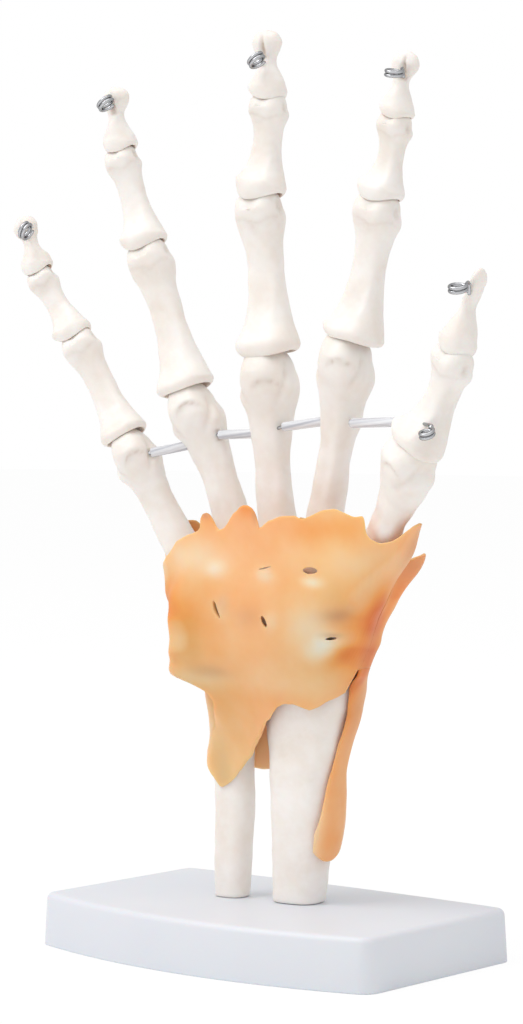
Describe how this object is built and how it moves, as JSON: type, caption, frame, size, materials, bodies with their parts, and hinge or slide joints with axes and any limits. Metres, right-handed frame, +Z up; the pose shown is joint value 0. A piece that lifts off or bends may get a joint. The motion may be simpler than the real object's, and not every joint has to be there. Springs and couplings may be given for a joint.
{
  "type": "hand skeleton model",
  "caption": "Life-size skeleton of a right hand on a white base: plastic bones jointed on steel wire, elastic ligament sheets round the wrist, a tie wire in clear spacer tubes.",
  "frame": {"origin": "middle of the underside of the base, on its middle rib", "axes": "+Z up along the hand, -Y towards the palm side, +X towards the thumb, along the long side of the base"},
  "size_m": [0.17, 0.078, 0.2662],
  "materials": {
    "bone": "matte, faintly pink off-white, yellower in the hollows",
    "base": "satin white moulding",
    "ligament": "translucent orange elastomer, smooth",
    "steel": "bright drawn wire",
    "clear_tube": "clear, faintly grey"
  },
  "bodies": {
    "forearm": {"base_shell": "base", "base_screw_radius": "steel", "base_screw_ulna": "steel", "radius": "bone", "ulna": "bone", "ligament_radial_strip": "ligament"},
    "palm": {"scaphoid": "bone", "lunate": "bone", "triquetrum": "bone", "pisiform": "bone", "trapezium": "bone", "trapezoid": "bone", "capitate": "bone", "hamate": "bone", "thumb_metacarpal": "bone", "wire_thumb_metacarpal": "steel", "index_metacarpal": "bone", "wire_index_metacarpal": "steel", "middle_metacarpal": "bone", "wire_middle_metacarpal": "steel", "ring_metacarpal": "bone", "wire_ring_metacarpal": "steel", "little_metacarpal": "bone", "wire_little_metacarpal": "steel", "tie_wire_palm": "steel", "spacer_little_ring": "clear_tube", "spacer_ring_middle": "clear_tube", "spacer_middle_index": "clear_tube", "spacer_index_thumb": "clear_tube", "ligament_palmar": "ligament", "ligament_dorsal": "ligament"},
    "thumb_proximal": {"thumb_proximal": "bone", "wire_thumb_proximal": "steel", "tie_wire_thumb": "steel"},
    "thumb_distal": {"thumb_distal": "bone", "wire_thumb_distal": "steel"},
    "index_proximal": {"index_proximal": "bone", "wire_index_proximal": "steel"},
    "index_middle": {"index_middle": "bone", "wire_index_middle": "steel"},
    "index_distal": {"index_distal": "bone", "wire_index_distal": "steel"},
    "middle_proximal": {"middle_proximal": "bone", "wire_middle_proximal": "steel"},
    "middle_middle": {"middle_middle": "bone", "wire_middle_middle": "steel"},
    "middle_distal": {"middle_distal": "bone", "wire_middle_distal": "steel"},
    "ring_proximal": {"ring_proximal": "bone", "wire_ring_proximal": "steel"},
    "ring_middle": {"ring_middle": "bone", "wire_ring_middle": "steel"},
    "ring_distal": {"ring_distal": "bone", "wire_ring_distal": "steel"},
    "little_proximal": {"little_proximal": "bone", "wire_little_proximal": "steel"},
    "little_middle": {"little_middle": "bone", "wire_little_middle": "steel"},
    "little_distal": {"little_distal": "bone", "wire_little_distal": "steel"}
  },
  "joints": [
    {"name": "wrist_flexion", "type": "hinge", "parent": "forearm", "child": "palm", "pos_m": [-0.0015, 0.0005, 0.093], "axis": [0.9903, 0.1392, 0], "range_deg": [-25, 25], "deforming": ["ligament_palmar", "ligament_dorsal", "ligament_radial_strip"]},
    {"name": "thumb_mcp", "type": "hinge", "parent": "palm", "child": "thumb_proximal", "pos_m": [0.0602, -0.01456, 0.1433], "axis": [0.7998, -0.2911, -0.5249], "range_deg": [-5, 30], "deforming": ["tie_wire_thumb", "spacer_index_thumb"]},
    {"name": "thumb_ip", "type": "hinge", "parent": "thumb_proximal", "child": "thumb_distal", "pos_m": [0.075, -0.015, 0.1696], "axis": [0.8286, -0.3016, -0.4716], "range_deg": [0, 50]},
    {"name": "index_mcp", "type": "hinge", "parent": "palm", "child": "index_proximal", "pos_m": [0.02611, 0.00236, 0.1716], "axis": [0.98, 0.0342, -0.196], "range_deg": [-10, 60]},
    {"name": "index_pip", "type": "hinge", "parent": "index_proximal", "child": "index_middle", "pos_m": [0.03502, 0.00361, 0.2127], "axis": [0.9765, 0.0341, -0.2128], "range_deg": [0, 75]},
    {"name": "index_dip", "type": "hinge", "parent": "index_middle", "child": "index_distal", "pos_m": [0.04047, 0.00438, 0.2362], "axis": [0.9734, 0.034, -0.2267], "range_deg": [0, 45]},
    {"name": "middle_mcp", "type": "hinge", "parent": "palm", "child": "middle_proximal", "pos_m": [-0.0014, 0.00051, 0.1679], "axis": [0.988, 0.1389, 0.0679], "range_deg": [-10, 60]},
    {"name": "middle_pip", "type": "hinge", "parent": "middle_proximal", "child": "middle_middle", "pos_m": [-0.00516, -0.00002, 0.2146], "axis": [0.987, 0.1387, 0.0811], "range_deg": [0, 75]},
    {"name": "middle_dip", "type": "hinge", "parent": "middle_middle", "child": "middle_distal", "pos_m": [-0.00209, 0.00042, 0.2438], "axis": [0.9847, 0.1384, -0.1056], "range_deg": [0, 45]},
    {"name": "ring_mcp", "type": "hinge", "parent": "palm", "child": "ring_proximal", "pos_m": [-0.02574, -0.00594, 0.1579], "axis": [0.919, 0.2291, 0.3207], "range_deg": [-10, 60]},
    {"name": "ring_pip", "type": "hinge", "parent": "ring_proximal", "child": "ring_middle", "pos_m": [-0.04021, -0.00858, 0.2017], "axis": [0.92, 0.2294, 0.3178], "range_deg": [0, 75]},
    {"name": "ring_dip", "type": "hinge", "parent": "ring_middle", "child": "ring_distal", "pos_m": [-0.04937, -0.01027, 0.2306], "axis": [0.9237, 0.2303, 0.3061], "range_deg": [0, 45]},
    {"name": "little_mcp", "type": "hinge", "parent": "palm", "child": "little_proximal", "pos_m": [-0.04228, -0.01331, 0.1447], "axis": [0.8125, 0.3283, 0.4817], "range_deg": [-10, 60]},
    {"name": "little_pip", "type": "hinge", "parent": "little_proximal", "child": "little_middle", "pos_m": [-0.06026, -0.01685, 0.1763], "axis": [0.8057, 0.3255, 0.4949], "range_deg": [0, 75]},
    {"name": "little_dip", "type": "hinge", "parent": "little_middle", "child": "little_distal", "pos_m": [-0.07354, -0.01932, 0.1959], "axis": [0.7682, 0.3104, 0.5599], "range_deg": [0, 45]}
  ]
}
